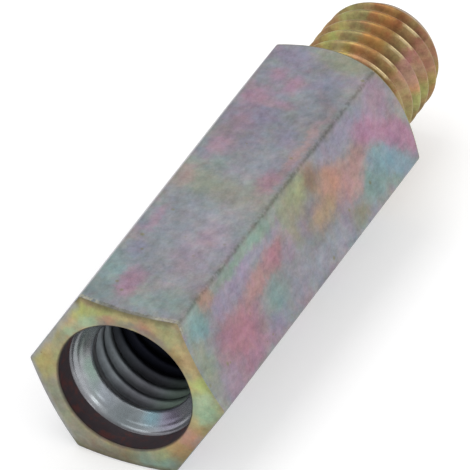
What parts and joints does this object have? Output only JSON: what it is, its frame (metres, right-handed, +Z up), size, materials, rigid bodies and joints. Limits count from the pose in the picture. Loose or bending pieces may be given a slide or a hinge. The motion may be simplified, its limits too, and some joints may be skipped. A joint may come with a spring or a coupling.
{
  "type": "screw-in pipe clip spacer",
  "caption": "Hexagonal bar spacer with a counterbored, tapped hole in one end and a threaded stud on the other, lying on a flat.",
  "frame": {"origin": "on the surface that the lower flat rests on, under the middle of the overall length, on the bar's centre plane", "axes": "+Y along the bar from the open end to the stud, +Z up, away from the flat it lies on, +X to the right"},
  "size_m": [0.016, 0.049, 0.014],
  "materials": {
    "plated_steel": "yellow-passivated zinc plate with soft pink, green and gold interference tints"
  },
  "bodies": {
    "root": {"hex_spacer": "plated_steel"}
  },
  "joints": []
}
